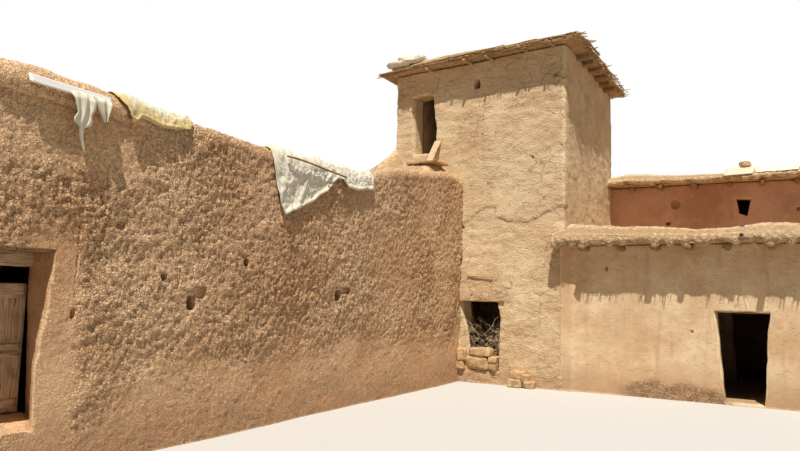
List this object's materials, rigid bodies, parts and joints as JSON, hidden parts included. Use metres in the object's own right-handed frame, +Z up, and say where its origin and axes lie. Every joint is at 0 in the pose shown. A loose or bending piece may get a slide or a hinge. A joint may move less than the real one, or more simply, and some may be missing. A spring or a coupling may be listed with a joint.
{
  "type": "adobe house",
  "caption": "Flat-roofed adobe house with a long west wing, a square tower, a low front room and a taller block behind; one plank door opens.",
  "frame": {"origin": "ground level under the middle of the tower", "axes": "+X to the right along the court front, +Y away from the court, +Z up"},
  "size_m": [13.825, 21.41, 7.9419],
  "materials": {
    "mud_plaster": "hand-laid mud and straw plaster, rough, matt",
    "roof_earth": "rammed and trodden earth, matt",
    "round_logs": "peeled poplar logs, weathered",
    "old_wood": "old rough boards, weathered dark",
    "cane": "dry canes and twigs",
    "field_stone": "rough field stone, matt",
    "cream_cloth": "coarse woven sacking, faded",
    "yellow_plastic": "thin yellowed plastic sheet",
    "white_board": "white sheet material, weathered",
    "grey_pipe": "grey plastic drain pipe"
  },
  "bodies": {
    "house": {"west_court_wall": "mud_plaster", "west_over_door": "mud_plaster", "west_court_parapet": "mud_plaster", "west_outer_wall": "mud_plaster", "west_south_wall": "mud_plaster", "west_north_wall": "mud_plaster", "west_door_sill": "mud_plaster", "west_door_frame": "old_wood", "west_roof_logs": "round_logs", "west_roof_earth": "roof_earth", "roof_bank": "roof_earth", "roof_step": "field_stone", "tower_front_piers": "mud_plaster", "tower_front_wall": "mud_plaster", "tower_right_wall": "mud_plaster", "tower_back_wall": "mud_plaster", "tower_left_wall": "mud_plaster", "tower_roof_logs": "round_logs", "tower_roof_earth": "roof_earth", "tower_edge_poles": "round_logs", "front_wall": "mud_plaster", "front_over_door": "mud_plaster", "front_end_wall": "mud_plaster", "front_roof_logs": "round_logs", "front_roof_earth": "roof_earth", "roof_spout": "grey_pipe", "mid_wall_base": "mud_plaster", "mid_wall_upper": "mud_plaster", "rear_west_wall": "mud_plaster", "rear_end_wall": "mud_plaster", "rear_back_wall": "mud_plaster", "rear_roof_logs": "round_logs", "rear_roof_earth": "roof_earth", "floor_logs": "round_logs", "upper_floors": "roof_earth", "earth_floors": "roof_earth", "cane_mats": "cane", "door_lintels": "old_wood", "door_stones": "field_stone", "white_strip": "white_board", "hanging_rag": "cream_cloth", "yellow_sheet": "yellow_plastic", "cream_sheet": "cream_cloth", "roof_sacks": "cream_cloth", "roof_board": "white_board", "roof_stone": "field_stone", "roof_cloth": "cream_cloth"},
    "west_door": {"west_door_planks": "old_wood", "west_door_rails": "old_wood", "west_door_post": "old_wood"}
  },
  "joints": [
    {"name": "west_door_hinge", "type": "hinge", "parent": "house", "child": "west_door", "pos_m": [-0.8845, -13.7675, 1.3], "axis": [0, 0, 1], "range_deg": [0, 95]}
  ]
}
